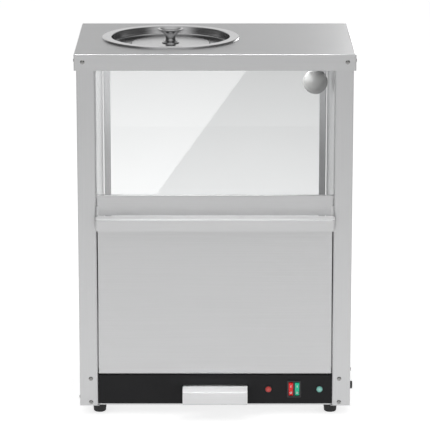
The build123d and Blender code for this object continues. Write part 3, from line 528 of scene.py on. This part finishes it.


# the light tone of each lens is painted bulb light, strongest at the lens's middle
for name, slot, dark, light in (
    ("heat_pilot_lens", "red_lens", (0.42, 0.020, 0.018), (0.80, 0.12, 0.10)),
    ("power_pilot_lens", "green_lens", (0.08, 0.42, 0.34), (0.50, 0.86, 0.78)),
):
    low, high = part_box(name)
    middle = (low + high) / 2
    bm = turned(LENS, steps=FACETS)
    bmesh.ops.transform(bm, matrix=stand((middle.x, fascia_front, middle.z), (0, -1, 0)), verts=bm.verts)
    tint = lens_with_painted_glow(name + "_tint", middle, dark, light)
    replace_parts(as_piece(bm, name + "_faceted", "cabinet", tint, smooth_below=0), name)

# %% [markdown]
# Each rocker carries a moulded line for on and a ring for off. At rest the upper flat stands
# upright and the lower flat leans in, so the ring is tipped to lie on its own flat. A bump map would
# be lost in the exported meshes, so the marks are solid.

# %% On and off marks
mark_white = coated("mark_white", (0.80, 0.80, 0.80), (0.90, 0.90, 0.90), 0.35, 0.0005, 0.00001)
LEAN = math.radians(14)
CREST_DROP, MARK_FROM_CREST, MARK_HEIGHT = 0.79 * MM, 6.2 * MM, 0.12
LINE_WIDTH, LINE_LENGTH, RING_INSIDE, RING_OUTSIDE = 0.9, 3.8, 1.2, 1.9
RING = [(RING_INSIDE, MARK_HEIGHT), (RING_OUTSIDE, MARK_HEIGHT), (RING_OUTSIDE, -MARK_HEIGHT),
        (RING_INSIDE, -MARK_HEIGHT), (RING_INSIDE, MARK_HEIGHT)]
down_slope = Vector((0, math.sin(LEAN), -math.cos(LEAN)))
outward = Vector((0, -math.cos(LEAN), -math.sin(LEAN)))

for rocker, slot in (("heat_rocker", "red_plastic"), ("light_rocker", "green_plastic")):
    low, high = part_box(rocker)
    crest = Vector(((low.x + high.x) / 2, low.y, (low.z + high.z) / 2 - CREST_DROP))
    line = bmesh.new()
    bmesh.ops.create_cube(line, size=1.0)
    size = Vector((LINE_WIDTH, LINE_LENGTH, 2 * MARK_HEIGHT)) * MM
    bmesh.ops.scale(line, vec=size, verts=line.verts)
    upper = stand(crest + Vector((0, 0, MARK_FROM_CREST)), (0, -1, 0))
    bmesh.ops.transform(line, matrix=upper, verts=line.verts)
    as_piece(line, rocker + "_on_mark", rocker, mark_white)
    ring = turned(RING)
    lower = stand(crest + down_slope * MARK_FROM_CREST, outward)
    bmesh.ops.transform(ring, matrix=lower, verts=ring.verts)
    as_piece(ring, rocker + "_off_mark", rocker, mark_white)

# %% [markdown]
# The floor is pale and wide. It keeps the cabinet's shadow, and it glows a little, so that it reads
# as white to the camera without more light on the object. Light Path tells a shader which kind of
# ray has met it, so metal and glass can each be shown a floor of their own, greyer level.

# %% Floor
FLOOR_SIZE = 9.0
FLOOR_GLOW, GLOW_THROUGH_GLASS = 0.66, 0.46
NEAR_MIRRORED, FAR_MIRRORED, FADE_REACH = 0.52, 0.22, 4.2

bm = bmesh.new()
bmesh.ops.create_grid(bm, x_segments=1, y_segments=1, size=FLOOR_SIZE)
floor = add_object("floor", plain_mesh(bm, "floor"))
floor_material, recipe, put = finish("pale_floor", Base_Color=(0.60, 0.60, 0.60), Roughness=0.9,
                                     Specular_IOR_Level=0.0, Emission_Strength=1.0)
fade = recipe.node("ShaderNodeMapRange", {"interpolation_type": "SMOOTHSTEP"},
                   {"Value": recipe.reach(), "From Max": FADE_REACH, "To Min": NEAR_MIRRORED,
                    "To Max": FAR_MIRRORED})
in_metal = recipe.node("ShaderNodeLightPath", output="Is Glossy Ray")
in_view = recipe.node("ShaderNodeLightPath", output="Is Camera Ray")
glow = GLOW_THROUGH_GLASS + in_view * (FLOOR_GLOW - GLOW_THROUGH_GLASS)
put("Emission Color", in_metal * fade + (1 - in_metal) * glow)
floor.data.materials.append(floor_material)
print("floor", 2 * FLOOR_SIZE, "m wide")

# %% [markdown]
# The world is a plain room. It is white to the camera and nearly white through glass, and lights the
# object a little lower, so that pale sheet keeps its tone. Steel has no colour but what it mirrors,
# so it is shown bands from the horizon to the ceiling, and walls that darken to both sides.

# %% World
ROOM_LIGHT, ROOM_THROUGH_GLASS = 0.55, 0.80
BANDS = [(0.0, 0.86), (0.27, 0.82), (0.48, 0.16), (0.90, 0.70)]
WALLS_FROM, WALLS_FULL, WALL_LEVEL = 0.35, 0.85, 0.10

world = bpy.data.worlds.new("room")
bpy.context.scene.world = world
world.use_nodes = True
room = Recipe(world.node_tree)
seen = room.node("ShaderNodeLightPath", output="Is Camera Ray")
through = room.node("ShaderNodeLightPath", output="Is Transmission Ray")
mirrored = room.node("ShaderNodeLightPath", output="Is Glossy Ray")
direction = room.node("ShaderNodeTexCoord", output="Generated")
sideways = room.node("ShaderNodeSeparateXYZ", values={"Vector": direction}, output="X")
upward = room.node("ShaderNodeSeparateXYZ", values={"Vector": direction}, output="Z")
bands = room.node("ShaderNodeValToRGB", {"stops": BANDS}, {"Fac": upward})
walls = room.node("ShaderNodeMapRange", {"interpolation_type": "SMOOTHSTEP"},
                  {"Value": sideways.maths("ABSOLUTE", sideways), "From Min": WALLS_FROM,
                   "From Max": WALLS_FULL, "To Min": 1.0, "To Max": WALL_LEVEL})
unseen = (1 - seen) * (1 - through)
in_steel = mirrored * (bands * walls) + (1 - mirrored) * ROOM_LIGHT
level = seen + through * ROOM_THROUGH_GLASS + unseen * in_steel
background = room.node("ShaderNodeBackground", values={"Color": (1, 1, 1, 1), "Strength": level})
output = room.tree.nodes.new("ShaderNodeOutputWorld")
room.tree.links.new(background.socket, output.inputs["Surface"])
print("room lights the object at", ROOM_LIGHT)

# %% [markdown]
# Three large soft lamps stand round the object, as in a product studio. Bare lamps would show in the
# polished lid as hard white shapes, so they light only what isn't metal, and metal sees the room. A
# fourth, small lamp hangs under the roof and lights the chamber.

# %% Soft lamps
def soft_box(name, place, aim, width, height, power):
    """Rectangular lamp that faces a point."""
    lamp = add_object(name, bpy.data.lights.new(name, "AREA"))
    lamp.data.shape = "RECTANGLE"
    lamp.data.size, lamp.data.size_y, lamp.data.energy = width, height, power
    lamp.location = place
    lamp.rotation_euler = (Vector(aim) - Vector(place)).to_track_quat("-Z", "Y").to_euler()
    print(name, power, "W")
    return lamp


MIDDLE = (0, 0, 0.3)
for name, place, width, height, power in (
    ("key", (-1.8, -2.4, 2.6), 2.4, 1.8, 26),
    ("fill", (2.4, -1.8, 1.6), 1.8, 1.8, 9),
    ("overhead", (0.2, -0.2, 2.6), 1.6, 1.6, 16),
):
    soft_box(name, place, MIDDLE, width, height, power).visible_glossy = False
soft_box("inside", (-0.02, 0.0, 0.622), (-0.02, 0, 0), 0.34, 0.24, 1.2).visible_camera = False

# %% [markdown]
# Some lamps light one piece each, as a photographer's cards do. Blender's light linking limits a
# lamp to the objects in a collection. Two lamps shape the roof: one gives it a gradient from the
# right and one puts the bright line on its front fold. Two strips lift the upward faces of the
# door's lip and of the tray's handle, and aren't mirrored, so that those faces don't turn white from
# other sides.

# %% Lamps for single pieces
def only_for(lamp, name):
    """Limits a lamp to one ready-made solid and hides it from the camera."""
    lit = bpy.data.collections.new(lamp.name + "_lights")
    lit.objects.link(nodes[name])
    lamp.light_linking.receiver_collection = lit
    lamp.visible_camera = False


for name, place, aim, width, height, power, lit, is_mirrored in (
    ("far_right", (0.80, 1.5, 1.05), (0.15, 0, 0.65), 0.8, 0.6, 10, "top_cover", True),
    ("bend_strip", (0, -0.62, 2.3), (0, -0.165, 0.65), 1.4, 0.5, 15, "top_cover", True),
    ("lip_strip", (0, -0.215, 0.80), (0, -0.165, 0.367), 0.60, 0.05, 14, "serving_door", False),
    ("handle_strip", (0, -0.235, 0.335), (0, -0.17, 0.054), 0.24, 0.05, 9, "crumb_tray", False),
):
    lamp = soft_box(name, place, aim, width, height, power)
    lamp.visible_glossy = is_mirrored
    only_for(lamp, lit)

# %% [markdown]
# The slanting bright patch in the window is a large lamp mirrored in its front face. The two corners
# are where its long edge has to stand for that reflection, and the lamp lies to the upper left of
# the line between them. It isn't seen through glass, so the rear pane doesn't show it once more.

# %% The reflection in the window
LOW_CORNER, HIGH_CORNER = Vector((-0.138, -1.8, 0.027)), Vector((0.075, -1.8, 0.324))
GLINT_WIDTH, GLINT_LENGTH, GLINT_POWER = 1.3, 1.6, 27
FORWARDS = Vector((0, -1, 0))

edge = (HIGH_CORNER - LOW_CORNER).normalized()
across = edge.cross(FORWARDS)
glint = soft_box("window_glint", (0, 0, 0), (0, 1, 0), GLINT_WIDTH, GLINT_LENGTH, GLINT_POWER)
glint.rotation_euler = Matrix((across, edge, FORWARDS)).transposed().to_euler()
glint.location = (LOW_CORNER + HIGH_CORNER) / 2 - across * (GLINT_WIDTH / 2)
glint.visible_transmission = False
only_for(glint, "front_glass")
